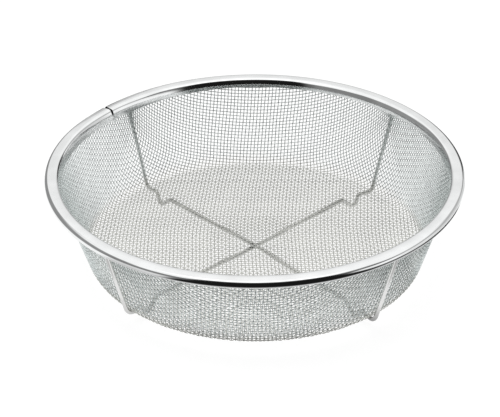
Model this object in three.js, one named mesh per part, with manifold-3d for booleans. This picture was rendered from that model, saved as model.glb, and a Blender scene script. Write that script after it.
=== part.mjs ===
// A shallow round draining basket of woven stainless steel wire cloth.
// The cloth is one pressed sheet. Its edge is turned over a core wire and held by a rolled rim band.
// Two wires cross under the floor, run up the wall to the rim, and are bent down into four feet.
// Millimetres, +Z up. The origin is on the ground, under the middle of the basket.

import * as THREE from 'three';
import { mergeGeometries, mergeVertices } from 'three/addons/utils/BufferGeometryUtils.js';
import Module from 'manifold-3d';

const degree = Math.PI / 180;

// The basket as a whole
const basketHeight = 62;
const rimRadius = 120;
const wallLean = 17.3 * degree;
const clearance = 0.3;

// The rim band, rolled from strip
const stripThickness = 0.5;
const rimWidth = 7.7;
const rimHeight = 4.8;
const rimBendRadius = 1.9;
const skirtDepth = 5.3;
const seamAngle = 140.8 * degree;
const seamGap = 0.7;

// The core wire inside the rim
const coreDiameter = 2;

// The wire cloth, as a sheet as thick as two of its wires
const clothThickness = 1;
const floorCornerRadius = 3.5;
const rimTurnRadius = 1.2;
const crownReach = 30;
const crownTopShare = 0.35;
const crownBendRadius = 60;

// The openings of the cloth, a plain square grid that stands for its weave
const floorOpeningsAcross = 12;
const wallOpeningsAround = 24;
const wallOpeningRows = 2;
const openingBar = 2.7;
const openingEdge = 5.4;
const openingFit = 0.4;

// The two cross wires
const wireDiameter = 2.3;
const upperWireAngle = 133.5 * degree;
const lowerWireAngle = 42.2 * degree;
const crossRise = 1.6;
const footDrop = 6.5;
const footInset = 14.5;
const footSoleLength = 3.1;
const footInnerRun = 7.5;
const footOuterRun = 2.1;
const footBendRadius = 2;
const wireCornerDrop = 1.8;
const wireCornerBendRadius = 5;

// How finely round things are divided
const turnsAroundAxis = 72;
const bendStep = 22.5 * degree;
const wireSides = 12;
const coreSides = 8;

// Heights and radii that follow from the sizes above
const wireRadius = wireDiameter / 2;
const wireFloorHeight = wireRadius + footDrop;
const clothSetback = wireRadius + clearance + clothThickness / 2;
const clothFloorHeight = wireFloorHeight + clothSetback;
const cornerShare = Math.tan((Math.PI / 2 - wallLean) / 2);
const bandSetback = stripThickness / 2;
const bandTopHeight = basketHeight - bandSetback;
const bandInnerRadius = rimRadius - rimWidth + bandSetback * cornerShare;
const bandOuterRadius = rimRadius - bandSetback;
const lipHeight = basketHeight - rimHeight + bandSetback;
const clothInBand = bandSetback + clearance + clothThickness / 2;
const clothTopHeight = bandTopHeight - clothInBand;
const clothTopRadius = bandInnerRadius + clothInBand * cornerShare;
const clothFloorRadius = wallRadius(clothFloorHeight);
const clothEdgeRadius = bandOuterRadius - rimBendRadius;
const wireCornerRadius = clothFloorRadius + clothSetback * cornerShare;

const halfTurnStep = Math.PI / turnsAroundAxis;

const steel = { metalness: 1, roughness: 0.28 };

// Radius of the middle of the cloth's wall at a height
function wallRadius(height) {
  return clothTopRadius - (clothTopHeight - height) * Math.tan(wallLean);
}

// A line through corner points, with each inner corner rounded to its bend radius.
// It returns samples of the line, each with its place and its side direction (to the right of travel).
function bendLine(corners, radii) {
  const samples = [];
  const addSample = (point, side) => samples.push({ point: point.clone(), side: side.clone() });
  const rightOf = (way) => new THREE.Vector2(way.y, -way.x);

  for (let i = 0; i < corners.length; i++) {
    const here = corners[i];
    const wayIn = i > 0 ? here.clone().sub(corners[i - 1]).normalize() : null;
    const wayOut = i < corners.length - 1 ? corners[i + 1].clone().sub(here).normalize() : null;
    if (!wayIn || !wayOut) {
      addSample(here, rightOf(wayIn ?? wayOut));
      continue;
    }
    const turn = Math.atan2(wayIn.cross(wayOut), wayIn.dot(wayOut));
    const radius = radii[i - 1];
    const start = here.clone().addScaledVector(wayIn, -radius * Math.tan(Math.abs(turn) / 2));
    const towardsCentre = rightOf(wayIn).multiplyScalar(-Math.sign(turn));
    const centre = start.clone().addScaledVector(towardsCentre, radius);
    const steps = Math.max(1, Math.round(Math.abs(turn) / bendStep));
    for (let step = 0; step <= steps; step++) {
      const angle = (turn * step) / steps;
      const point = start.clone().rotateAround(centre, angle);
      addSample(point, rightOf(wayIn).rotateAround(new THREE.Vector2(), angle));
    }
  }
  return samples;
}

// The closed outline of bent sheet: the line moved half a thickness to each side
function sheetOutline(line, thickness, startsOnAxis) {
  const sideAt = (offset) => line.map(({ point, side }, i) => {
    const way = startsOnAxis && i === 0 ? new THREE.Vector2(0, Math.sign(side.y)) : side;
    return point.clone().addScaledVector(way, offset);
  });
  const below = sideAt(thickness / 2);
  const above = sideAt(-thickness / 2).reverse();
  const outline = [...below, ...above];
  if (!startsOnAxis) outline.push(below[0].clone());
  return outline;
}

// A solid of revolution about the vertical axis, from an outline of radius and height
function revolve(outline, start = 0) {
  const geometry = new THREE.LatheGeometry(outline, turnsAroundAxis);
  geometry.rotateX(Math.PI / 2);
  geometry.rotateZ(start);
  return geometry;
}

// A regular polygon whose flat sides touch a circle of the given radius
function flatSided(radius, sides) {
  const cornerRadius = radius / Math.cos(Math.PI / sides);
  return Array.from({ length: sides }, (_, i) => {
    const angle = ((i + 0.5) * 2 * Math.PI) / sides;
    return new THREE.Vector2(Math.cos(angle), Math.sin(angle)).multiplyScalar(cornerRadius);
  });
}

// A bent wire in the XZ plane, with one ring of the swept section at each sample of its line
class BentWire extends THREE.Curve {
  constructor(line) {
    super();
    this.points = line.map(({ point }) => new THREE.Vector3(point.x, 0, point.y));
    this.ways = line.map(({ side }) => new THREE.Vector3(-side.y, 0, side.x));
  }

  get steps() {
    return this.points.length - 1;
  }

  getPoint(t) {
    const place = Math.min(Math.max(t, 0), 1) * this.steps;
    const first = Math.min(Math.floor(place), this.steps - 1);
    return this.points[first].clone().lerp(this.points[first + 1], place - first);
  }

  getPointAt(u) {
    return this.getPoint(u);
  }

  getTangentAt(u) {
    return this.ways[Math.round(u * this.steps)].clone();
  }
}

// The cut that leaves the two ends of the rim band standing a little apart
function seamCut() {
  const reach = rimWidth + skirtDepth;
  const cut = new THREE.BoxGeometry(2 * reach, seamGap, 2 * reach);
  cut.translate(rimRadius, 0, basketHeight);
  cut.rotateZ(seamAngle);
  return cut;
}

// Cuts one closed geometry out of another
async function cutAway(geometry, tool) {
  const wasm = await Module();
  wasm.setup();
  const asSolid = (source) => {
    const plain = source.clone();
    plain.deleteAttribute('normal');
    plain.deleteAttribute('uv');
    const merged = mergeVertices(plain);
    const vertProperties = new Float32Array(merged.attributes.position.array);
    const corners = [...merged.index.array];
    const isWhole = (_, i) => {
      const [a, b, c] = corners.slice(i - (i % 3), i - (i % 3) + 3);
      return a !== b && b !== c && c !== a;
    };
    const triVerts = new Uint32Array(corners.filter(isWhole));
    return new wasm.Manifold(new wasm.Mesh({ numProp: 3, vertProperties, triVerts }));
  };
  const result = asSolid(geometry).subtract(asSolid(tool)).getMesh();
  const cut = new THREE.BufferGeometry();
  cut.setAttribute('position', new THREE.BufferAttribute(result.vertProperties, 3));
  cut.setIndex(new THREE.BufferAttribute(result.triVerts, 1));
  cut.computeVertexNormals();
  return cut;
}

// A block that cuts one opening, from its sizes through, around and up the cloth
function openingBlock(through, around, up) {
  return new THREE.BoxGeometry(through, around, up);
}

// Square openings across the floor, each one whole and clear of the floor's corner.
// Which places of the grid have one is settled in pitches, so it stays so when sizes change.
function floorOpenings() {
  const reach = clothFloorRadius - openingEdge;
  const pitch = (2 * reach) / floorOpeningsAcross;
  const size = pitch - openingBar;
  const fit = pitch * openingFit;
  const middle = clothFloorHeight + crossRise / 2;
  const depth = 2 * (crossRise + clothThickness);
  const blocks = [];
  for (let row = 0; row < floorOpeningsAcross; row++) {
    for (let column = 0; column < floorOpeningsAcross; column++) {
      const x = (column + 0.5) * pitch - reach;
      const y = (row + 0.5) * pitch - reach;
      const farCorner = Math.hypot(Math.abs(x) + fit, Math.abs(y) + fit);
      if (farCorner <= reach) blocks.push(openingBlock(size, size, depth).translate(x, y, middle));
    }
  }
  return blocks;
}

// Rows of openings round the wall, between the floor's corner and the skirt of the rim
function wallOpenings() {
  const low = clothFloorHeight + openingEdge;
  const high = basketHeight - skirtDepth - openingBar / 2;
  const rowHeight = (high - low) / wallOpeningRows;
  const size = (2 * Math.PI * wallRadius(low)) / wallOpeningsAround - openingBar;
  const up = rowHeight / Math.cos(wallLean) - openingBar;
  const blocks = [];
  for (let row = 0; row < wallOpeningRows; row++) {
    const height = low + (row + 0.5) * rowHeight;
    for (let column = 0; column < wallOpeningsAround; column++) {
      const block = openingBlock(4 * clothThickness, size, up);
      block.rotateY(wallLean);
      block.translate(wallRadius(height), 0, height);
      blocks.push(block.rotateZ((column / wallOpeningsAround) * 2 * Math.PI + halfTurnStep));
    }
  }
  return blocks;
}

// The pressed cloth: crowned floor, corner, leaning wall, and the edge turned out over the core wire
function clothGeometry() {
  const crownTop = crownReach * crownTopShare;
  const corners = [
    new THREE.Vector2(0, clothFloorHeight + crossRise),
    new THREE.Vector2(crownTop, clothFloorHeight + crossRise),
    new THREE.Vector2(crownReach, clothFloorHeight),
    new THREE.Vector2(clothFloorRadius, clothFloorHeight),
    new THREE.Vector2(clothTopRadius, clothTopHeight),
    new THREE.Vector2(clothEdgeRadius, clothTopHeight),
  ];
  const radii = [crownBendRadius, crownBendRadius, floorCornerRadius, rimTurnRadius];
  const sheet = revolve(sheetOutline(bendLine(corners, radii), clothThickness, true), halfTurnStep);
  return cutAway(sheet, mergeGeometries([...floorOpenings(), ...wallOpenings()]));
}

// The rolled band: inner skirt, top, outer side, and the lip that closes up to the cloth underneath
function bandGeometry() {
  const skirtHeight = basketHeight - skirtDepth;
  const skirtRadius = bandInnerRadius - (bandTopHeight - skirtHeight) * Math.tan(wallLean);
  const clothHalfWidth = clothThickness / 2 / Math.cos(wallLean);
  const lipReach = clothHalfWidth + clearance + bandSetback * Math.tan(wallLean);
  const corners = [
    new THREE.Vector2(skirtRadius, skirtHeight),
    new THREE.Vector2(bandInnerRadius, bandTopHeight),
    new THREE.Vector2(bandOuterRadius, bandTopHeight),
    new THREE.Vector2(bandOuterRadius, lipHeight),
    new THREE.Vector2(wallRadius(lipHeight) + lipReach, lipHeight),
  ];
  const radii = [rimBendRadius, rimBendRadius, rimBendRadius];
  const ring = revolve(sheetOutline(bendLine(corners, radii), stripThickness, false));
  return cutAway(ring, seamCut());
}

// The core wire: a closed ring between the turned edge of the cloth and the lip of the band
function coreGeometry() {
  const coreRadius = coreDiameter / 2;
  const height = clothTopHeight - clothThickness / 2 - clearance - coreRadius;
  const wallSide = wallRadius(height) + clothThickness / 2 / Math.cos(wallLean) + clearance;
  const centre = new THREE.Vector2(wallSide + coreRadius, height);
  const outline = flatSided(coreRadius, coreSides).map((corner) => corner.add(centre));
  outline.push(outline[0].clone());
  return revolve(outline);
}

// One foot of a cross wire, seen along the wire: corner places at and around the sole
function footCorners(inset, outwards) {
  const middle = wireCornerRadius - inset;
  const soleInner = middle - footSoleLength / 2;
  const soleOuter = middle + footSoleLength / 2;
  return [
    new THREE.Vector2(outwards * (soleInner - footInnerRun), wireFloorHeight),
    new THREE.Vector2(outwards * soleInner, wireRadius),
    new THREE.Vector2(outwards * soleOuter, wireRadius),
    new THREE.Vector2(outwards * (soleOuter + footOuterRun), wireFloorHeight),
  ];
}

// One half of a cross wire, from beside the crossing out to its end under the rim
function wireArm(inset, outwards) {
  const tilt = wireRadius * Math.sin(wallLean);
  const cornerRadius = wireCornerRadius - wireCornerDrop * Math.tan(wallLean);
  const endHeight = basketHeight - rimHeight - clearance - tilt;
  const endRadius = wallRadius(endHeight) + clothSetback / Math.cos(wallLean);
  return [
    new THREE.Vector2(outwards * crownReach, wireFloorHeight),
    ...footCorners(inset, outwards),
    new THREE.Vector2(outwards * cornerRadius, wireFloorHeight - wireCornerDrop),
    new THREE.Vector2(outwards * endRadius, endHeight),
  ];
}

// A cross wire that steps up or down by rise where the two wires cross
function crossWireGeometry(rise) {
  const crownTop = crownReach * crownTopShare;
  const corners = [
    ...wireArm(footInset, -1).reverse(),
    new THREE.Vector2(-crownTop, wireFloorHeight + rise),
    new THREE.Vector2(crownTop, wireFloorHeight + rise),
    ...wireArm(footInset, 1),
  ];
  const armRadii = [
    crownBendRadius,
    ...new Array(footCorners(footInset, 1).length).fill(footBendRadius),
    wireCornerBendRadius,
  ];
  const radii = [...[...armRadii].reverse(), crownBendRadius, crownBendRadius, ...armRadii];
  const path = new BentWire(bendLine(corners, radii));
  const section = new THREE.Shape(flatSided(wireRadius, wireSides));
  return new THREE.ExtrudeGeometry(section, { steps: path.steps, extrudePath: path });
}

function addPiece(group, name, geometry, look, turn = 0) {
  const piece = new THREE.Mesh(geometry, new THREE.MeshStandardMaterial(look));
  piece.name = name;
  piece.rotation.z = turn;
  group.add(piece);
}

const basket = new THREE.Group();
const wireDip = wireDiameter + clearance - crossRise;

addPiece(basket, 'mesh_bowl', await clothGeometry(), { ...steel, color: 0xc4c6c6, roughness: 0.4 });
addPiece(basket, 'rim_band', await bandGeometry(), { ...steel, color: 0xd9dbdb, roughness: 0.12 });
addPiece(basket, 'rim_core', coreGeometry(), { ...steel, color: 0xb4b6b6 });
addPiece(
  basket,
  'cross_wire_upper',
  crossWireGeometry(crossRise),
  { ...steel, color: 0xbcbebe },
  upperWireAngle,
);
addPiece(
  basket,
  'cross_wire_lower',
  crossWireGeometry(-wireDip),
  { ...steel, color: 0xbcbebe },
  lowerWireAngle,
);

export default basket;
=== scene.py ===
import math
import random
import bmesh
import bpy
import numpy as np
from mathutils import Matrix, Quaternion, Vector


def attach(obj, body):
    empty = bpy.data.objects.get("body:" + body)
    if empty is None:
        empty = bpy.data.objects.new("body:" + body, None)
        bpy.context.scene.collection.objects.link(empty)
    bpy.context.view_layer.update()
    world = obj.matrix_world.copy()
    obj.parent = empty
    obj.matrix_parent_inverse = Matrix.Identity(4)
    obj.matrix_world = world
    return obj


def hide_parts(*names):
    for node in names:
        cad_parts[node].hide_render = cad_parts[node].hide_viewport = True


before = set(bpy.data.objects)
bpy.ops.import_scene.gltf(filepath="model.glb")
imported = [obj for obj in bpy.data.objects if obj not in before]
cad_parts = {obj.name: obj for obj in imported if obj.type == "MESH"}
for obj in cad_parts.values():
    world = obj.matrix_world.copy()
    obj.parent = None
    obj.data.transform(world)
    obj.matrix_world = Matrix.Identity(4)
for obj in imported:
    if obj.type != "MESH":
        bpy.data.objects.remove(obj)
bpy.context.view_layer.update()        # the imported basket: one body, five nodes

millimetre = 0.001
tiny = 1e-9              # the least length that anything is divided by

# Places in metres, lens and sensor in millimetres
camera = {
    "position": (-0.002799, -0.796085, 0.513872),
    "aim": (-0.002799, 0.0, 0.033697),
    "roll": math.radians(-0.339),
    "lens": 115.094,
    "sensor": 36,
}


def addObject(name, data):
    made = bpy.data.objects.new(name, data)
    bpy.context.collection.objects.link(made)
    return made


# Puts a camera or a lamp in its place and turns it to what it looks at
def pointAt(thing, position, aim, roll=0.0):
    thing.location = position
    way = Vector(aim) - Vector(position)
    thing.rotation_mode = "QUATERNION"
    thing.rotation_quaternion = way.to_track_quat("-Z", "Y") @ Quaternion((0, 0, 1), roll)


def makeCamera():
    data = bpy.data.cameras.new("camera")
    data.lens = camera["lens"]
    data.sensor_width = camera["sensor"]
    view = addObject("camera", data)
    pointAt(view, camera["position"], camera["aim"], camera["roll"])
    bpy.context.scene.camera = view
    print("camera: set")


makeCamera()

# Sizes that several pieces share, in millimetres
basket = {
    "height": 62.0,
    "rimRadius": 120.0,
    "rimWidth": 7.7,
    "rimHeight": 4.8,
    "rimBend": 1.9,
    "strip": 0.5,              # the sheet that the rim is rolled from
    "wallLean": math.radians(17.3),
    "clothThickness": 1.0,
    "wireDiameter": 2.3,       # the two cross wires
    "footDrop": 6.5,
    "clearance": 0.3,
    "crossRise": 1.6,          # how far the floor and the upper wire lift at the crossing
    "crownReach": 30.0,
    "crownTopShare": 0.35,
    "crownBend": 60.0,
    # the edge of the floor bulges: how far out, how far down, and on which side
    "bulge": (1.2, 0.8, math.radians(-60)),
}

# Heights and radii that follow, the same sums as in the frame
leanTan = math.tan(basket["wallLean"])
cornerShare = math.tan((math.pi / 2 - basket["wallLean"]) / 2)
wireRadius = basket["wireDiameter"] / 2
wireFloorHeight = wireRadius + basket["footDrop"]
clothSetback = wireRadius + basket["clearance"] + basket["clothThickness"] / 2
clothFloorHeight = wireFloorHeight + clothSetback
crownTop = basket["crownReach"] * basket["crownTopShare"]
bandSetback = basket["strip"] / 2
bandTopHeight = basket["height"] - bandSetback
bandInnerRadius = basket["rimRadius"] - basket["rimWidth"] + bandSetback * cornerShare
bandOuterRadius = basket["rimRadius"] - bandSetback
lipHeight = basket["height"] - basket["rimHeight"] + bandSetback
clothInBand = bandSetback + basket["clearance"] + basket["clothThickness"] / 2
clothTopHeight = bandTopHeight - clothInBand
clothTopRadius = bandInnerRadius + clothInBand * cornerShare


def wallRadius(height):
    return clothTopRadius - (clothTopHeight - height) * leanTan


clothFloorRadius = wallRadius(clothFloorHeight)
clothEdgeRadius = bandOuterRadius - basket["rimBend"]
wireCornerRadius = clothFloorRadius + clothSetback * cornerShare


# From 0 at low to 1 at high
def climb(value, low, high):
    return np.clip((value - low) / (high - low), 0, 1)


# How far along a line each of its points is
def lengthsAlong(line):
    return np.concatenate([[0], np.cumsum(np.linalg.norm(np.diff(line, axis=0), axis=1))])


# Places moved by the bulge, which fades out up the wall
def bulged(places, fromRadius):
    out, down, way = basket["bulge"]
    x, y, height = places.T
    radius = np.maximum(np.hypot(x, y), tiny)
    share = np.clip((x * math.cos(way) + y * math.sin(way)) / radius, 0, 1)
    share *= climb(radius, fromRadius, clothFloorRadius)
    underRim = clothTopHeight - basket["rimHeight"] - height
    share *= climb(underRim, 0, clothTopHeight - clothFloorHeight)
    moved = places.copy()
    moved[:, :2] += places[:, :2] * (share * out / radius)[:, None]
    moved[:, 2] -= share * down
    return moved


# A line through corners, each inner one rounded to its radius, as points and the way at each
def bentLine(corners, radii, bendStep):
    corners = np.array(corners, float)
    legs = np.diff(corners, axis=0)
    legs /= np.linalg.norm(legs, axis=1)[:, None]
    points, ways = [corners[0]], [legs[0]]
    for here, wayIn, wayOut, radius in zip(corners[1:-1], legs[:-1], legs[1:], radii):
        turn = math.atan2(wayIn[0] * wayOut[1] - wayIn[1] * wayOut[0], float(wayIn @ wayOut))
        start = here - wayIn * radius * math.tan(abs(turn) / 2)
        side = np.array([-wayIn[1], wayIn[0]]) * math.copysign(1, turn)
        steps = max(1, round(abs(turn) / bendStep))
        for step in range(steps + 1):
            angle = turn * step / steps
            c, s = math.cos(angle), math.sin(angle)
            spin = np.array([[c, -s], [s, c]])
            points.append(start + side * radius - spin @ side * radius)
            ways.append(spin @ wayIn)
    return np.array([*points, corners[-1]]), np.array([*ways, legs[-1]])


def link(tree, source, target):
    tree.links.new(source, target)


# A node with its settings made, and its inputs linked to other sockets or set
def node(tree, kind, inputs=None, **settings):
    made = tree.nodes.new(kind)
    for name, value in settings.items():
        setattr(made, name, value)
    for name, value in (inputs or {}).items():
        if isinstance(value, bpy.types.NodeSocket):
            link(tree, value, made.inputs[name])
        else:
            made.inputs[name].default_value = value
    return made


def combine(tree, operation, first, second, clamp=False):
    inputs = {0: first, 1: second}
    return node(tree, "ShaderNodeMath", inputs, operation=operation, use_clamp=clamp).outputs[0]


def combineVectors(tree, operation, first, second):
    inputs = {0: first, 1: second}
    return node(tree, "ShaderNodeVectorMath", inputs, operation=operation).outputs["Vector"]


def ramp(tree, source, fromLow, fromHigh, toLow, toHigh):
    return node(tree, "ShaderNodeMapRange", {
        "Value": source,
        "From Min": fromLow, "From Max": fromHigh,
        "To Min": toLow, "To Max": toHigh,
    }).outputs["Result"]


# Gives a node group its named sockets, and returns them as they are inside it
def openGroup(group, inputs, outputs):
    face = group.interface
    for name, kind, start in inputs:
        socket = face.new_socket(name, in_out="INPUT", socket_type="NodeSocket" + kind)
        if start is not None:
            socket.default_value = start
    for name, kind in outputs:
        face.new_socket(name, in_out="OUTPUT", socket_type="NodeSocket" + kind)
    return node(group, "NodeGroupInput").outputs, node(group, "NodeGroupOutput").inputs


# What all the steels share
grain = {
    "lineDetail": 3.0,
    "mottleDetail": 2.0,
    "bumpDistance": 0.00004,       # metres
    # the spans of the two noises over which a steel goes from dark to light, and gets rougher
    "mottleSpan": (0.25, 0.75),
    "lineSpan": (0.3, 0.7),
}


# Fine lines along a drawn or rolled surface, with slow mottling. Vector is metres along and across.
def makeSteelGrain():
    group = bpy.data.node_groups.new("steelGrain", "ShaderNodeTree")
    entry, leave = openGroup(group, (
        ("Vector", "Vector", None),
        ("Lines Along", "Float", 120.0),
        ("Lines Across", "Float", 9000.0),
        ("Mottle Scale", "Float", 60.0),
        ("Depth", "Float", 0.1),
    ), (("Lines", "Float"), ("Mottle", "Float"), ("Normal", "Vector")))
    stretch = node(group, "ShaderNodeCombineXYZ", {
        "X": entry["Lines Along"],
        "Y": entry["Lines Across"],
        "Z": entry["Lines Across"],
    }).outputs["Vector"]
    lines = node(group, "ShaderNodeTexNoise", {
        "Vector": combineVectors(group, "MULTIPLY", entry["Vector"], stretch),
        "Scale": 1.0,
        "Detail": grain["lineDetail"],
    }).outputs["Fac"]
    mottle = node(group, "ShaderNodeTexNoise", {
        "Vector": entry["Vector"],
        "Scale": entry["Mottle Scale"],
        "Detail": grain["mottleDetail"],
    }).outputs["Fac"]
    bump = node(group, "ShaderNodeBump", {
        "Height": lines,
        "Strength": entry["Depth"],
        "Distance": grain["bumpDistance"],
    }).outputs["Normal"]
    link(group, lines, leave["Lines"])
    link(group, mottle, leave["Mottle"])
    link(group, bump, leave["Normal"])
    return group


steelGrain = makeSteelGrain()


# A steel whose colour runs from dark to light with the mottle, and whose roughness follows the
# lines. vector gives the grain its place, lift adds to the mottle, and paintedShade tints the
# colour and darkens it with painted shade.
def makeSteel(name, look, vector, lift=None, paintedShade=None):
    material = bpy.data.materials.new(name)
    material.use_nodes = True
    tree = material.node_tree
    pattern = node(tree, "ShaderNodeGroup", {
        "Vector": vector(tree),
        "Lines Along": look["linesAlong"],
        "Lines Across": look["linesAcross"],
        "Mottle Scale": look["mottleScale"],
        "Depth": look["depth"],
    }, node_tree=steelGrain).outputs
    share = ramp(tree, pattern["Mottle"], *grain["mottleSpan"], 0.0, 1.0)
    if lift:
        share = combine(tree, "ADD", share, lift(tree), clamp=True)
    colour = node(tree, "ShaderNodeMix", {
        "Factor": share,
        "A": (*look["dark"], 1),
        "B": (*look["light"], 1),
    }, data_type="RGBA").outputs["Result"]
    if paintedShade:
        colour = combineVectors(tree, "MULTIPLY", colour, paintedShade(tree))
    rough = ramp(tree, pattern["Lines"], *grain["lineSpan"], *look["roughness"])
    shader = tree.nodes["Principled BSDF"].inputs
    shader["Metallic"].default_value = 1.0
    link(tree, colour, shader["Base Color"])
    link(tree, rough, shader["Roughness"])
    link(tree, pattern["Normal"], shader["Normal"])
    return material


def attributeValue(tree, name):
    return node(tree, "ShaderNodeAttribute", attribute_name=name).outputs["Fac"]


def wireVector(tree):
    return node(tree, "ShaderNodeCombineXYZ", {
        "X": attributeValue(tree, "wireAlong"),
        "Y": attributeValue(tree, "wireAround"),
    }).outputs["Vector"]


def stripVector(tree):
    return node(tree, "ShaderNodeUVMap", uv_map="strip").outputs["UV"]


def objectVector(tree):
    return node(tree, "ShaderNodeTexCoord").outputs["Object"]


# Lines become round wires. The crimp moves a line's points to their sheetSide along their
# sheetNormal, where they have these.
def makeWireTree():
    tree = bpy.data.node_groups.new("roundWires", "GeometryNodeTree")
    entry, leave = openGroup(tree, (
        ("Geometry", "Geometry", None),
        ("Wire Diameter", "Float", 0.0005),
        ("Crimp", "Float", 0.0),
        ("Sides", "Int", 6),
        ("Material", "Material", None),
    ), (("Geometry", "Geometry"),))

    def read(name, kind):
        made = node(tree, "GeometryNodeInputNamedAttribute", {"Name": name}, data_type=kind)
        return made.outputs["Attribute"]

    # crimp: each point moves off the sheet by its side times the crimp times the diameter
    swing = combine(tree, "MULTIPLY", entry["Wire Diameter"], entry["Crimp"])
    offset = node(tree, "ShaderNodeVectorMath", {
        0: read("sheetNormal", "FLOAT_VECTOR"),
        "Scale": combine(tree, "MULTIPLY", swing, read("sheetSide", "FLOAT")),
    }, operation="SCALE")
    crimped = node(tree, "GeometryNodeSetPosition", {
        "Geometry": entry["Geometry"],
        "Offset": offset.outputs["Vector"],
    })
    lines = node(tree, "GeometryNodeMeshToCurve", {"Mesh": crimped.outputs["Geometry"]})
    circle = node(tree, "GeometryNodeCurvePrimitiveCircle", {
        "Radius": combine(tree, "MULTIPLY", entry["Wire Diameter"], 0.5),
        "Resolution": entry["Sides"],
    })
    length = node(tree, "GeometryNodeSplineParameter").outputs["Length"]

    # keeps each point's length along a curve, for the material
    def keepLength(name, curve):
        return node(tree, "GeometryNodeStoreNamedAttribute", {
            "Geometry": curve,
            "Name": name,
            "Value": length,
        }, data_type="FLOAT", domain="POINT").outputs["Geometry"]

    sweep = node(tree, "GeometryNodeCurveToMesh", {
        "Curve": keepLength("wireAlong", lines.outputs["Curve"]),
        "Profile Curve": keepLength("wireAround", circle.outputs["Curve"]),
        "Fill Caps": True,
    })
    smooth = node(tree, "GeometryNodeSetShadeSmooth", {"Geometry": sweep.outputs["Mesh"]})
    real = node(tree, "GeometryNodeRealizeInstances", {"Geometry": smooth.outputs["Geometry"]})
    painted = node(tree, "GeometryNodeSetMaterial", {
        "Geometry": real.outputs["Geometry"],
        "Material": entry["Material"],
    })
    link(tree, painted.outputs["Geometry"], leave["Geometry"])
    return tree


wireTree = makeWireTree()


# Runs the wire tree on a mesh of lines, given in millimetres, and leaves a plain mesh object
def growWires(name, points, edges, fields, values):
    mesh = bpy.data.meshes.new(name)
    mesh.from_pydata((np.asarray(points) * millimetre).tolist(), np.asarray(edges).tolist(), [])
    for field, data in fields.items():
        data = np.asarray(data, np.float32)
        kind, slot = ("FLOAT_VECTOR", "vector") if data.ndim == 2 else ("FLOAT", "value")
        mesh.attributes.new(field, kind, "POINT").data.foreach_set(slot, data.ravel())
    piece = addObject(name, mesh)
    modifier = piece.modifiers.new(wireTree.name, "NODES")
    modifier.node_group = wireTree
    for item in wireTree.interface.items_tree:
        if item.in_out == "INPUT" and item.name in values:
            modifier[item.identifier] = values[item.name]
    depsgraph = bpy.context.evaluated_depsgraph_get()
    made = bpy.data.meshes.new_from_object(piece.evaluated_get(depsgraph), depsgraph=depsgraph)
    piece.modifiers.remove(modifier)
    piece.data = made
    bpy.data.meshes.remove(mesh)
    made.name = name
    for field in ("sheetNormal", "sheetSide"):
        if field in made.attributes:
            made.attributes.remove(made.attributes[field])
    return piece


# The woven cloth. Lengths in millimetres.
cloth = {
    "wire": 0.5,
    "pitch": (2.175, 2.04),    # between the wires that run to the back, and between those across
    "crimp": 0.5,              # how far a wire swings off the sheet, as a share of its diameter
    "knotReach": 0.25,         # where a wire bends to each side of a crossing, as a share of a cell
    "leastEnd": 0.02,          # the shortest cut end, as a share of the run to the next point
    "sides": 6,
    "floorCorner": 3.5,
    "edgeTurn": 1.2,
    "bendStep": math.radians(1),
    "pastRim": 12.0,           # how far over its top the wall runs on while the net is laid
    "bulgeFrom": 60.0,         # the radius at which the bulge starts
    # slant of the wires at the front or left, and at the back or right, where it turns, and over
    # what length
    "bowToBack": (-0.05, 0.085, 12.0, 28.0),
    "bowAcross": (0.033, -0.05, 0.0, 40.0),
    "wander": 0.1,             # how far the weave wanders besides
    "wanderLengths": (31.0, 47.0, 73.0),
    "toneSpread": 0.5,         # how much one wire is brighter or duller than the next
    "seed": 7,
    "seedAcross": 1007,        # for the wires that run across
    # share of the steel's colour left at a height, as painted shade and light: painted shade on the
    # floor, painted light up the wall, and inside the rim all but black as painted shade; for the
    # wires that run to the back, and for those across
    "paintedShadeHeights": (10.5, 16.0, 56.4, 56.9),
    "paintedShadeToBack": (0.72, 0.94, 0.94, 0.05),
    "paintedShadeAcross": (0.85, 0.94, 0.94, 0.05),
    # painted shade towards the back of the rim, painted light towards the front
    "paintedShadeFadeToBack": 0.09,        # how much of it is lost at the back of the rim, and won at the front
    # painted shade low on the front wall: only a share of that is left there: heights, shares. It
    # sets in between two directions, of which 1 is straight to the front, and between two radii.
    "paintedShadeInFront": ((10.5, 13.0, 20.0, 30.0), (0.6, 0.65, 0.86, 1.0)),
    "paintedShadeFrontWidth": (0.75, 0.95),
    "paintedShadeFrontRadii": (85.0, 95.0),
    "tints": ((1.0, 0.995, 0.94), (0.955, 1.0, 0.995)),    # on the floor and up the wall
    "dark": (0.76, 0.77, 0.77),
    "light": (0.97, 0.98, 0.975),
    "roughness": (0.14, 0.28),
    "linesAlong": 300.0,
    "linesAcross": 9000.0,
    "mottleScale": 45.0,
    "depth": 0.08,
}


# The middle of the sheet from the centre of the floor outwards, its edge turned in or running
# straight on: length along it, radius and height, and the way at each point
def clothProfile(turned):
    corners = [
        (0, clothFloorHeight + basket["crossRise"]),
        (crownTop, clothFloorHeight + basket["crossRise"]),
        (basket["crownReach"], clothFloorHeight),
        (clothFloorRadius, clothFloorHeight),
    ]
    radii = [basket["crownBend"], basket["crownBend"], cloth["floorCorner"]]
    if turned:
        corners += [(clothTopRadius, clothTopHeight), (clothEdgeRadius, clothTopHeight)]
        radii.append(cloth["edgeTurn"])
    else:
        over = clothTopHeight + cloth["pastRim"]
        corners.append((wallRadius(over), over))
    points, ways = bentLine(corners, radii, cloth["bendStep"])
    return lengthsAlong(points), points, ways


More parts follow.
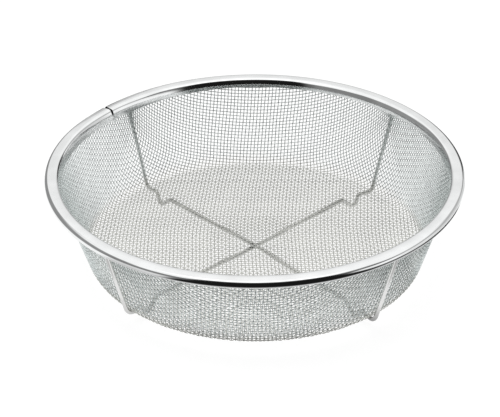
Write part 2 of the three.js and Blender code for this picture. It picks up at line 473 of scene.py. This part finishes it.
# Where flat places (u, v) land on a surface turned from a profile, and the surface's normal there
def onSheet(profile, u, v):
    along, points, ways = profile
    s = np.hypot(u, v)
    safe = np.maximum(s, tiny)
    c, d = np.where(s > tiny, u / safe, 1.0), np.where(s > tiny, v / safe, 0.0)
    radius, height = (np.interp(s, along, points[:, k]) for k in (0, 1))
    wayR, wayZ = (np.interp(s, along, ways[:, k]) for k in (0, 1))
    size = np.hypot(wayR, wayZ)
    place = np.stack([radius * c, radius * d, height], -1)
    normal = np.stack([-wayZ / size * c, -wayZ / size * d, wayR / size], -1)
    return place, normal


# Lays a net over a quarter of the bowl, cell by cell: each knot is one pitch from two neighbours
def drapeQuarter(profile, reach):
    pitchU, pitchV = cloth["pitch"]
    pitch = min(pitchU, pitchV)
    nudge, rounds, leastWhole, longestStep = 1e-4, 12, 0.05, 0.5 * pitch    # to look for a knot
    count = int(reach / pitch) + 3
    u = np.full((count, count), np.nan)
    v = np.full((count, count), np.nan)
    u[:, 0] = np.arange(count) * pitchU
    v[0, :] = np.arange(count) * pitchV
    u[0, :] = v[:, 0] = 0
    for diagonal in range(2, 2 * count - 1):
        i = np.arange(max(1, diagonal - count + 1), min(count, diagonal))
        j = diagonal - i
        known = ~np.isnan(u[i - 1, j]) & ~np.isnan(u[i, j - 1])
        i, j = i[known], j[known]
        if not len(i):
            continue
        left, _ = onSheet(profile, u[i - 1, j], v[i - 1, j])
        below, _ = onSheet(profile, u[i, j - 1], v[i, j - 1])
        x = u[i - 1, j] + u[i, j - 1] - u[i - 1, j - 1]
        y = v[i - 1, j] + v[i, j - 1] - v[i - 1, j - 1]

        # how far a knot at (x, y) is from being one pitch from each neighbour
        def miss(x, y):
            place, _ = onSheet(profile, x, y)
            toLeft = np.linalg.norm(place - left, axis=1)
            toBelow = np.linalg.norm(place - below, axis=1)
            return toLeft - pitchU, toBelow - pitchV

        for _ in range(rounds):
            f, g = miss(x, y)
            fx, gx = miss(x + nudge, y)
            fy, gy = miss(x, y + nudge)
            a, b, c, d = (fx - f) / nudge, (fy - f) / nudge, (gx - g) / nudge, (gy - g) / nudge
            whole = a * d - b * c
            whole = np.where(np.abs(whole) < leastWhole, np.copysign(leastWhole, whole), whole)
            stepX, stepY = (d * f - b * g) / whole, (a * g - c * f) / whole
            size = np.maximum(np.hypot(stepX, stepY), tiny)
            limit = np.minimum(1, longestStep / size)
            x, y = x - stepX * limit, y - stepY * limit
        keep = np.hypot(x, y) < reach + 2 * pitch
        u[i[keep], j[keep]] = x[keep]
        v[i[keep], j[keep]] = y[keep]
    return u, v


# How far a wire has strayed sideways along its way, where its slant turns from one to another
def stray(way, bow):
    early, late, middle, reach = bow
    turned = np.logaddexp((way - middle) / reach, (middle - way) / reach)
    unturned = np.logaddexp(-middle / reach, middle / reach)
    return (early + late) / 2 * way + (late - early) / 2 * reach * (turned - unturned)


# The weave isn't straight to the basket: it bows and wanders, both directions of wire alike, so
# that crossings stay crossings. Up the wall the places (u, v) fan out, so a move round the bowl
# counts for more.
def drift(u, v, profile):
    chance = random.Random(cloth["seed"])
    moveU, moveV = stray(v, cloth["bowToBack"]), stray(u, cloth["bowAcross"])
    for length in cloth["wanderLengths"]:
        for move in (moveU, moveV):
            way, start = chance.uniform(0, math.pi), chance.uniform(0, 2 * math.pi)
            wave = (u * math.cos(way) + v * math.sin(way)) * 2 * math.pi / length + start
            move += cloth["wander"] * np.sin(wave)
    s = np.maximum(np.hypot(u, v), tiny)
    outwards = (moveU * u + moveV * v) / s
    sideways = (moveV * u - moveU * v) / s
    sideways *= s / np.maximum(np.interp(s, profile[0], profile[1][:, 0]), tiny)
    return u + (outwards * u - sideways * v) / s, v + (outwards * v + sideways * u) / s


# The tint of the steel at places on the cloth, times its painted shade
def clothTintAndPaintedShade(places, across):
    x, y, height = places.T
    radius = np.maximum(np.hypot(x, y), tiny)
    levels = cloth["paintedShadeAcross"] if across else cloth["paintedShadeToBack"]
    paintedShade = np.interp(height, cloth["paintedShadeHeights"], levels)
    paintedShade *= 1 - cloth["paintedShadeFadeToBack"] * y / basket["rimRadius"]
    # where the painted shade low on the front wall sets in
    front = climb(-y / radius, *cloth["paintedShadeFrontWidth"]) * climb(radius, *cloth["paintedShadeFrontRadii"])
    paintedShade *= 1 + front * (np.interp(height, *cloth["paintedShadeInFront"]) - 1)
    ends = cloth["paintedShadeHeights"][:2]
    tint = [np.interp(height, ends, pair) for pair in zip(*cloth["tints"])]
    return np.stack(tint, 1) * paintedShade[:, None]


# The wires of one direction: points to each side of every crossing, cut at the sheet's edge
def layWires(u, v, first, last, profile, reach, across):
    points, edges, normals, sides, tones, paintedShades = [], [], [], [], [], []
    chance = random.Random((cloth["seedAcross"] if across else cloth["seed"]) + first)
    count = u.shape[0]
    total = 0
    steps = np.arange(-count + 1, count)
    for line in range(first, last):
        same = np.full_like(steps, line)
        i, j = (steps, same) if across else (same, steps)
        knotU = np.sign(i) * u[abs(i), abs(j)]
        knotV = np.sign(j) * v[abs(i), abs(j)]
        known = ~np.isnan(knotU) & ~np.isnan(knotV)
        if known.sum() < 2:        # no run between two crossings
            continue
        knotU, knotV = drift(knotU[known], knotV[known], profile)
        spot = steps[known]
        where = np.arange(len(spot), dtype=float)
        at = np.sort(np.concatenate([where - cloth["knotReach"], where + cloth["knotReach"]]))
        at = at[(at >= 0) & (at <= len(spot) - 1)]
        over = 1 - 2.0 * ((spot[np.rint(at).astype(int)] + line) % 2)
        over = over if across else -over
        wire = np.stack([np.interp(at, where, knotU), np.interp(at, where, knotV), over], 1)
        s = np.hypot(wire[:, 0], wire[:, 1])
        inside = np.flatnonzero(s < reach)
        if len(inside) < 4:        # too short a wire to be held
            continue
        a, b = inside[0], inside[-1]
        ends = []
        for near, beyond in ((a, a - 1), (b, b + 1)):
            if 0 <= beyond < len(at):
                share = (reach - s[near]) / max(s[beyond] - s[near], tiny)
                share = min(max(share, cloth["leastEnd"]), 1)
                end = wire[near] + share * (wire[beyond] - wire[near])
                ends.append([[end[0], end[1], over[near]]])
            else:
                ends.append(np.empty((0, 3)))
        wire = np.concatenate([ends[0], wire[a:b + 1], ends[1]])
        place, normal = onSheet(profile, wire[:, 0], wire[:, 1])
        points.append(bulged(place, cloth["bulgeFrom"]))
        normals.append(normal)
        sides.append(wire[:, 2])
        tones.append(np.full(len(place), chance.uniform(-1, 1) * cloth["toneSpread"]))
        # painted shade and tint at each point
        paintedShades.append(clothTintAndPaintedShade(place, across))
        run = np.arange(len(place) - 1) + total
        edges.append(np.stack([run, run + 1], 1))
        total += len(place)
    return map(np.concatenate, (points, edges, normals, sides, tones, paintedShades))


def clothLift(tree):
    return attributeValue(tree, "wireTone")


# the painted shade and tint stored on the wires
def clothPaintedShade(tree):
    return node(tree, "ShaderNodeAttribute", attribute_name="wirePaintedShade").outputs["Vector"]


def makeCloth():
    straight, turned = clothProfile(False), clothProfile(True)
    reach = turned[0][-1]
    u, v = drapeQuarter(straight, reach)
    values = {
        "Wire Diameter": cloth["wire"] * millimetre,
        "Crimp": cloth["crimp"],
        "Sides": cloth["sides"],
        "Material": makeSteel("clothSteelPaintedShade", cloth, wireVector, clothLift, clothPaintedShade),
    }
    count = u.shape[0]
    for name, first, last, across in (
        ("clothWiresLeft", -count + 1, 0, False),
        ("clothWiresRight", 0, count, False),
        ("clothWiresFront", -count + 1, 0, True),
        ("clothWiresBack", 0, count, True),
    ):
        points, edges, *rest = layWires(u, v, first, last, turned, reach, across)
        fields = dict(zip(("sheetNormal", "sheetSide", "wireTone", "wirePaintedShade"), rest))
        piece = growWires(name, points, edges, fields, values)
        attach(piece, "root")
        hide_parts("mesh_bowl")
        print(f"cloth: {name} has {len(piece.data.polygons)} faces")


makeCloth()

# The rim band. Lengths in millimetres.
rim = {
    "crown": math.radians(5),  # how far each half of the top falls away
    "skirt": 5.3,              # how far under the top the skirt ends
    "skirtBreak": 3.3,         # how far under the top its upper and its lower part meet
    "skirtLean": (math.radians(9.5), math.radians(20.5)),    # of the lower and of the upper part
    "skirtBend": 4.0,
    # where the skirt hangs lower, over what angle, and how far
    "skirtSag": (math.radians(144), math.radians(26), 1.4),
    # the outer shoulder sinks at the joint: over what angle, how far down, and how far in
    "shoulderDent": (math.radians(13), 0.9, 0.5),
    "seamAt": math.radians(140.8),
    # how wide the joint gapes, from the skirt over the top to the lip: shares of the way, widths
    "seamGaps": ((0.0, 0.08, 0.16, 0.3, 0.42, 0.56, 1.0), (0.7, 1.1, 2.0, 1.1, 1.9, 2.8, 2.4)),
    "segments": 360,
    "bendStep": math.radians(7.5),
    "sharpFrom": math.radians(40),
    "dark": (0.80, 0.81, 0.81),
    "light": (0.90, 0.91, 0.91),
    "roughness": (0.06, 0.12),
    "linesAlong": 30.0,
    "linesAcross": 6000.0,
    "mottleScale": 80.0,
    "depth": 0.03,
    # the inside of the strip and its two ends, near black: painted shade in the joint's gap
    "inside": {
        "dark": (0.03, 0.03, 0.03),
        "light": (0.08, 0.08, 0.08),
        "roughness": (0.5, 0.7),
        "linesAlong": 60.0,
        "linesAcross": 3000.0,
        "mottleScale": 90.0,
        "depth": 0.1,
    },
}
skirtHeight = basket["height"] - rim["skirt"]
breakHeight = basket["height"] - rim["skirtBreak"]


# The middle of the rolled strip: skirt, top, outer side and lip
def rimLine():
    lowLean, highLean = rim["skirtLean"]
    breakRadius = bandInnerRadius - (bandTopHeight - breakHeight) * math.tan(highLean)
    skirtRadius = breakRadius - (breakHeight - skirtHeight) * math.tan(lowLean)
    lipReach = basket["clothThickness"] / 2 / math.cos(basket["wallLean"]) + basket["clearance"]
    lipRadius = wallRadius(lipHeight) + lipReach + bandSetback * leanTan
    topMiddle = (bandInnerRadius + bandOuterRadius) / 2
    topReach = (bandOuterRadius - bandInnerRadius) / 2
    bend = basket["rimBend"]
    crownBend = (topReach - bend) / math.tan(rim["crown"])
    crownLift = crownBend * (1 / math.cos(rim["crown"]) - 1)
    crownFall = topReach * math.tan(rim["crown"]) - crownLift
    corners = [
        (skirtRadius, skirtHeight),
        (breakRadius, breakHeight),
        (bandInnerRadius, bandTopHeight - crownFall),
        (topMiddle, bandTopHeight + crownLift),
        (bandOuterRadius, bandTopHeight - crownFall),
        (bandOuterRadius, lipHeight),
        (lipRadius, lipHeight),
    ]
    return bentLine(corners, [rim["skirtBend"], bend, crownBend, bend, bend], rim["bendStep"])


# 1 at one angle round the rim, fading away to both sides of it
def hump(angles, middle, reach):
    away = (angles - middle + math.pi) % (2 * math.pi) - math.pi
    return np.exp(-((away / reach) ** 2))


def makeRim():
    line, ways = rimLine()
    side = np.stack([ways[:, 1], -ways[:, 0]], 1) * bandSetback
    radii, heights = np.concatenate([line + side, (line - side)[::-1]]).T
    lengths = lengthsAlong(line)
    lengths = np.concatenate([lengths, lengths[::-1]])
    ring, steps = len(radii), rim["segments"]
    gap = np.interp(lengths / lengths.max(), *rim["seamGaps"]) / 2 / basket["rimRadius"]
    share = np.linspace(0, 1, steps + 1)[:, None]
    angles = rim["seamAt"] + gap + share * (2 * math.pi - 2 * gap)
    sagAt, sagReach, sagDepth = rim["skirtSag"]
    low = np.where(radii < bandInnerRadius, climb(-heights, -breakHeight, -skirtHeight), 0)
    sag = sagDepth * hump(angles, sagAt, sagReach) * low
    dentReach, dentDown, dentIn = rim["shoulderDent"]
    shoulder = climb(radii, clothEdgeRadius, bandOuterRadius)
    shoulder *= climb(heights, lipHeight, bandTopHeight)
    dent = shoulder * hump(angles, rim["seamAt"], dentReach)
    radii = radii - sag * math.tan(rim["skirtLean"][0]) - dent * dentIn
    heights = heights - sag - dent * dentDown
    points = np.stack([radii * np.cos(angles), radii * np.sin(angles), heights], -1).reshape(-1, 3)
    faces = []
    for step in range(steps):
        a, b = step * ring, (step + 1) * ring
        for k in range(ring):
            m = (k + 1) % ring
            faces.append((a + k, b + k, b + m, a + m))
    faces.append(tuple(range(ring)))
    faces.append(tuple(reversed(range(steps * ring, (steps + 1) * ring))))
    mesh = bpy.data.meshes.new("rimBand")
    mesh.from_pydata((points * millimetre).tolist(), [], faces)
    uv = mesh.uv_layers.new(name="strip")
    along = angles * basket["rimRadius"]
    for corner, loop in enumerate(mesh.loops):
        step, k = divmod(loop.vertex_index, ring)
        uv.data[corner].uv = (along[step, k] * millimetre, lengths[k] * millimetre)
    mesh.shade_smooth()
    mesh.set_sharp_from_angle(angle=rim["sharpFrom"])
    piece = addObject("rimBand", mesh)
    mesh.materials.append(makeSteel("rimSteel", rim, stripVector))
    mesh.materials.append(makeSteel("rimInsidePaintedShade", rim["inside"], stripVector))
    # the inside faces and the two end faces take the near-black painted shade
    inside = [1 if k < len(line) - 1 else 0 for k in range(ring)] * steps + [1, 1]
    mesh.polygons.foreach_set("material_index", inside)
    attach(piece, "root")
    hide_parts("rim_band")
    print(f"rim: {len(mesh.polygons)} faces")


makeRim()

# The two cross wires. Lengths in millimetres. Each wire is given along its way, which leads to the
# front right for the upper and to the back right for the lower one: its azimuth, how its corners
# at the start and at the end hang and bend, and how far it strays to the left at places along it.
wires = {
    "upper": {
        "azimuth": math.radians(-46.5),
        "cornerDrops": (1.8, 0.3),     # how far the corners hang under the wire's floor level
        "cornerBends": (5.0, 5.0),
        "along": (-114, -98, -85, -75, -60, -45, -30, -10, 10, 30, 75, 85, 98, 114),
        "strays": (0.9, 0.6, -0.2, -0.5, 0.1, 0.2, -0.2, -1.0, -1.2, -1.5, -2.2, -3.2, -4.9, -4.4),
    },
    "lower": {
        "azimuth": math.radians(42.2),
        "cornerDrops": (0.0, 1.8),
        "cornerBends": (8.0, 5.0),
        "along": (-114, -98, -85, -75, -30, -10, 10, 20, 30, 45, 60, 75, 85, 98, 114),
        "strays": (-7.0, -4.6, -2.0, -0.4, 0.3, 0.9, 1.3, 1.5, 1.2, 2.1, 2.2, 2.2, 1.1, -0.8, -1.6),
    },
    "diameter": 2.5,           # a touch over the frame's
    "bulgeFrom": 91.0,         # the radius at which the bulge starts
    "footInset": 14.5,
    "footSole": 3.1,
    "footInnerRun": 7.5,
    "footOuterRun": 2.1,
    "footBend": 2.0,
    "sides": 16,
    "bendStep": math.radians(9),
    "endBead": (1.5, 1.5, 0.5),
    "endBeadDrop": 0.15,       # how far its middle is under the top of the wire's end
    "crossBead": (1.3, 1.3, 0.45),
    "crossBeadAt": (-1.5, 0),
    # painted light and shade: how much lighter the wire gets from one height to another, painted
    # shade under the floor cloth and painted light up the wall: the two heights, the lifts there.
    # At the back under the rim and low in front there is another lift of painted shade, times a
    # share that goes by the distance to the back.
    "lift": (9, 22, 0.03, 0.6),
    "paintedShadeAtBack": ((36, 54, 0.0, -0.9), (-30, 30, 0.0, 1.0)),
    "paintedShadeLowInFront": ((12, 30, -0.2, 0.0), (-60, -30, 1.0, 0.0)),
    "weldLift": (2, 4, -0.6, 0.0),     # by distance from the crossing, dulled by its weld
    "dark": (0.18, 0.18, 0.18),
    "light": (0.92, 0.92, 0.91),
    "roughness": (0.10, 0.22),
    "linesAlong": 60.0,
    "linesAcross": 5000.0,
    "mottleScale": 30.0,
    "depth": 0.12,
}


# Half a cross wire, from beside the crossing out to its end under the rim: radius, height
def wireArm(cornerDrop):
    tilt = wireRadius * math.sin(basket["wallLean"])
    endHeight = basket["height"] - basket["rimHeight"] - basket["clearance"] - tilt
    endRadius = wallRadius(endHeight) + clothSetback / math.cos(basket["wallLean"])
    middle = wireCornerRadius - wires["footInset"]
    soleInner, soleOuter = middle - wires["footSole"] / 2, middle + wires["footSole"] / 2
    cornerRadius = wireCornerRadius - cornerDrop * leanTan
    return [
        (basket["crownReach"], wireFloorHeight),
        (soleInner - wires["footInnerRun"], wireFloorHeight),
        (soleInner, wires["diameter"] / 2),
        (soleOuter, wires["diameter"] / 2),
        (soleOuter + wires["footOuterRun"], wireFloorHeight),
        (cornerRadius, wireFloorHeight - cornerDrop),
        (endRadius, endHeight),
    ]


# Painted shade under the floor cloth, near the back under the rim and low in front, painted
# light up the wall; duller round the weld at the crossing
def wirePaintedLightAndWeld(tree):
    place = node(tree, "ShaderNodeSeparateXYZ", {"Vector": objectVector(tree)}).outputs
    flat = combineVectors(tree, "MULTIPLY", objectVector(tree), (1, 1, 0))
    away = node(tree, "ShaderNodeVectorMath", {0: flat}, operation="LENGTH").outputs["Value"]

    def over(length, fromLow, fromHigh, toLow, toHigh):
        return ramp(tree, length, fromLow * millimetre, fromHigh * millimetre, toLow, toHigh)

    # painted shade on the floor, painted light up the wall
    lift = over(place["Z"], *wires["lift"])
    for byHeight, towardsBack in (wires["paintedShadeAtBack"], wires["paintedShadeLowInFront"]):
        more, share = over(place["Z"], *byHeight), over(place["Y"], *towardsBack)
        lift = combine(tree, "ADD", lift, combine(tree, "MULTIPLY", more, share))
    return combine(tree, "ADD", lift, over(away, *wires["weldLift"]))


# Weld beads, small flattened balls melted into the wire
def addBeads(mesh, beads):
    shape = bmesh.new()
    shape.from_mesh(mesh)
    for place, size in beads:
        matrix = Matrix.Translation(Vector(place) * millimetre)
        matrix = matrix @ Matrix.Diagonal((*(v * millimetre for v in size), 1))
        bead = bmesh.ops.create_icosphere(shape, subdivisions=3, radius=1, matrix=matrix)
        for face in {face for vertex in bead["verts"] for face in vertex.link_faces}:
            face.smooth = True
    shape.to_mesh(mesh)
    shape.free()


def makeCrossWire(name, nodeName, course, rise, beadHeight, steel):
    startDrop, endDrop = course["cornerDrops"]
    startBend, endBend = course["cornerBends"]
    corners = [
        *((-radius, height) for radius, height in reversed(wireArm(startDrop))),
        (-crownTop, wireFloorHeight + rise),
        (crownTop, wireFloorHeight + rise),
        *wireArm(endDrop),
    ]
    crown, feet = [basket["crownBend"]] * 4, [wires["footBend"]] * 4
    line, _ = bentLine(corners, [startBend, *feet, *crown, *feet, endBend], wires["bendStep"])
    along, height = line.T
    strays = np.interp(along, course["along"], course["strays"])
    c, s = math.cos(course["azimuth"]), math.sin(course["azimuth"])
    points = np.stack([along * c - strays * s, along * s + strays * c, height], 1)
    points = bulged(points, wires["bulgeFrom"])
    run = np.arange(len(points) - 1)
    piece = growWires(name, points, np.stack([run, run + 1], 1), {}, {
        "Wire Diameter": wires["diameter"] * millimetre,
        "Sides": wires["sides"],
        "Material": steel,
    })
    up = np.array([0, 0, wireRadius * math.sin(basket["wallLean"]) - wires["endBeadDrop"]])
    beads = [(points[0] + up, wires["endBead"]), (points[-1] + up, wires["endBead"])]
    if beadHeight:
        beads.append(((*wires["crossBeadAt"], beadHeight), wires["crossBead"]))
    addBeads(piece.data, beads)
    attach(piece, "root")
    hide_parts(nodeName)
    print(f"wire: {name} has {len(piece.data.polygons)} faces")


def makeCrossWires():
    # the wire's painted light and shade go into its colour
    steel = makeSteel("wireSteelPaintedLight", wires, wireVector, wirePaintedLightAndWeld)
    rise = basket["crossRise"]
    dip = basket["wireDiameter"] + basket["clearance"] - rise
    between = wireFloorHeight + rise - wireRadius - basket["clearance"] / 2
    makeCrossWire("crossWireUpper", "cross_wire_upper", wires["upper"], rise, None, steel)
    makeCrossWire("crossWireLower", "cross_wire_lower", wires["lower"], -dip, between, steel)


makeCrossWires()

# The core wire inside the rim keeps its solid from the frame
core = {
    "dark": (0.45, 0.45, 0.45),
    "light": (0.6, 0.6, 0.6),
    "roughness": (0.25, 0.4),
    "linesAlong": 400.0,
    "linesAcross": 400.0,
    "mottleScale": 60.0,
    "depth": 0.05,
}


def paintCore():
    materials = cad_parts["rim_core"].data.materials
    materials.clear()
    materials.append(makeSteel("coreSteel", core, objectVector))
    print("core: painted")


paintCore()

# Floor, soft light, and the cards that the polished metal mirrors. Lengths in metres.
stage = {
    "floorReach": 6.0,
    "floorHeight": -0.0002,
    "floorColour": 0.20,
    "floorGlow": 0.86,         # how bright the floor is to the camera and in the metal
    "ambient": 0.75,
    "keyPower": 6.0,
    "keySize": 0.9,
    "keyPlace": (-0.25, -0.1, 1.2),
    "keyAim": (0, 0, 0.03),
    "rimLevel": 0.06,          # where the cards' elevations are counted from
    "domeRadius": 1.6,
    "domeSpan": (-3.0, 89.9),  # degrees over that level from the dome's foot to its top
    "floorSpan": (82.0, 2.0),  # degrees under it from the floor card's inner edge to its outer one
    "floorCardHeight": 0.0003,
    "underCardHeight": 0.0001,
    "underReach": 0.128,
    "underHole": 0.01,         # share of that reach left open in the middle
    "underGlow": 0.85,         # what the metal sees of the ground under the basket
}

# Soft cards round the basket, one over another: azimuths, elevations, soft edges, and how bright
# the metal sees them, in degrees. Azimuth 0 is +X, 90 the back, -90 the camera's side.
studioCards = {
    "tent": ((-400, 400), (-95, 95), (1, 1), 1.07),
    "overhead": ((-400, 400), (68, 95), (1, 10), 1.5),
    "backdrop": ((64, 116), (-95, 32), (8, 10), 0.90),
    "backdropFoot": ((60, 118), (-95, 20), (8, 10), 0.58),
    "leftWing": ((113, 200), (-10, 40), (6, 14), 0.30),
    "rightWing": ((-25, 48), (-12, 16), (12, 10), 0.72),
    "rightWingEdge": ((-30, 10), (4, 14), (12, 8), 1.07),
    "rightWingTop": ((-25, 62), (16, 38), (12, 10), 0.5),
    "gapLeft": ((98, 124), (-30, 4), (4, 6), 0.10),
    "gapRight": ((54, 72), (-8, 25), (4, 6), 0.06),
    "leftShoulder": ((-168, -122), (-14, 32), (8, 12), 0.24),
    "rightShoulder": ((-46, -14), (16, 52), (8, 8), 0.22),
    "floorRight": ((-46, 14), (-70, -28), (8, 4), 0.08),
    "floorLeft": ((-151, -128), (-62, -10), (5, 8), 0.75),
    "stripRight": ((-58, -16), (-24, 15), (6, 3), 1.07),
    "floorInFront": ((-150, -20), (-95, -50), (10, 10), 0.55),
    "darkRoom": ((-125, -42), (-62, 64), (11, 36), 0.01),
}


# 1 between low and high, with a soft edge round each of the two
def softStep(value, low, high, edge):
    share = climb(value, low - edge / 2, low + edge / 2)
    share = share * (1 - climb(value, high - edge / 2, high + edge / 2))
    return share * share * (3 - 2 * share)


def studioGlow(azimuth, elevation):
    glow = np.zeros_like(azimuth)
    for azimuths, elevations, edges, brightness in studioCards.values():
        reach = sum(softStep(azimuth + turn, *azimuths, edges[0]) for turn in (-360, 0, 360))
        reach = np.minimum(reach, 1) * softStep(elevation, *elevations, edges[1])
        glow = glow * (1 - reach) + brightness * reach
    return glow


def underGlow(azimuth, elevation):
    return np.full_like(azimuth, stage["underGlow"])


# A place at each azimuth, reach from the middle and height
def roundPlaces(azimuth, reach, height):
    height = np.broadcast_to(height, reach.shape)
    return np.stack([reach * np.cos(azimuth), reach * np.sin(azimuth), height], -1)


def domePlace(azimuth, share):
    low, high = stage["domeSpan"]
    elevation = np.radians(low + share * (high - low))
    height = stage["rimLevel"] + stage["domeRadius"] * np.sin(elevation)
    points = roundPlaces(azimuth, stage["domeRadius"] * np.cos(elevation), np.maximum(height, 0))
    return points, np.degrees(elevation)


def floorPlace(azimuth, share):
    near, far = stage["floorSpan"]
    elevation = np.radians((near - far) * (1 - share) ** 2 + far)
    reach = basket["rimRadius"] * millimetre + stage["rimLevel"] / np.tan(elevation)
    return roundPlaces(azimuth, reach, stage["floorCardHeight"]), -np.degrees(elevation)


def underPlace(azimuth, share):
    reach = stage["underReach"] * (stage["underHole"] + (1 - stage["underHole"]) * share)
    return roundPlaces(azimuth, reach, stage["underCardHeight"]), np.full_like(reach, -90.0)


# A grid of card that only the metal sees, with a brightness at each corner
def makeCard(name, place, shine, rows, columns):
    azimuth, row = np.meshgrid(np.linspace(-180, 180, columns + 1), np.arange(rows + 1))
    points, elevation = place(np.radians(azimuth), row / rows)
    faces = [
        (a, a + 1, a + columns + 2, a + columns + 1)
        for r in range(rows) for a in range(r * (columns + 1), r * (columns + 1) + columns)
    ]
    mesh = bpy.data.meshes.new(name)
    mesh.from_pydata(points.reshape(-1, 3).tolist(), [], faces)
    glow = shine(azimuth, elevation).astype(np.float32)
    mesh.attributes.new("glow", "FLOAT", "POINT").data.foreach_set("value", glow.ravel())
    card = addObject(name, mesh)
    material = bpy.data.materials.new(name)
    material.use_nodes = True
    tree = material.node_tree
    tree.nodes.remove(tree.nodes["Principled BSDF"])
    emission = node(tree, "ShaderNodeEmission", {"Color": attributeValue(tree, "glow")})
    link(tree, emission.outputs["Emission"], tree.nodes["Material Output"].inputs["Surface"])
    mesh.materials.append(material)
    card.visible_camera = card.visible_diffuse = False
    card.visible_shadow = card.visible_transmission = False


# 1 for what the camera sees, straight or in metal and glass
def seenDirectly(tree):
    path = node(tree, "ShaderNodeLightPath").outputs
    seen = combine(tree, "MAXIMUM", path["Is Camera Ray"], path["Is Glossy Ray"])
    return combine(tree, "MAXIMUM", seen, path["Is Transmission Ray"])


def makeFloor():
    reach = stage["floorReach"]
    corners = [(-reach, -reach, 0), (reach, -reach, 0), (reach, reach, 0), (-reach, reach, 0)]
    mesh = bpy.data.meshes.new("floor")
    mesh.from_pydata(corners, [], [(0, 1, 2, 3)])
    floor = addObject("floor", mesh)
    floor.location.z = stage["floorHeight"]
    material = bpy.data.materials.new("floorWhite")
    material.use_nodes = True
    tree = material.node_tree
    shader = tree.nodes["Principled BSDF"].inputs
    shader["Base Color"].default_value = (*[stage["floorColour"]] * 3, 1)
    shader["Roughness"].default_value = 1.0
    shader["Specular IOR Level"].default_value = 0.0
    shader["Emission Color"].default_value = (1, 1, 1, 1)
    glow = combine(tree, "MULTIPLY", seenDirectly(tree), stage["floorGlow"])
    link(tree, glow, shader["Emission Strength"])
    mesh.materials.append(material)


def makeWorld():
    world = bpy.data.worlds.new("studio")
    bpy.context.scene.world = world
    world.use_nodes = True
    tree = world.node_tree
    background = tree.nodes["Background"].inputs
    background["Color"].default_value = (1, 1, 1, 1)
    strength = ramp(tree, seenDirectly(tree), 0.0, 1.0, stage["ambient"], 1.0)
    link(tree, strength, background["Strength"])


def makeKey():
    data = bpy.data.lights.new("overhead", "AREA")
    data.shape = "DISK"
    data.size = stage["keySize"]
    data.energy = stage["keyPower"]
    lamp = addObject("overhead", data)
    lamp.visible_glossy = False        # the cards are what the metal mirrors
    pointAt(lamp, stage["keyPlace"], stage["keyAim"])


makeFloor()
makeWorld()
makeKey()
makeCard("domeCard", domePlace, studioGlow, rows=60, columns=180)
makeCard("floorCard", floorPlace, studioGlow, rows=24, columns=180)
makeCard("underCard", underPlace, underGlow, rows=2, columns=90)
bpy.context.scene.view_settings.view_transform = "Standard"
print("stage: floor, cards and light set")
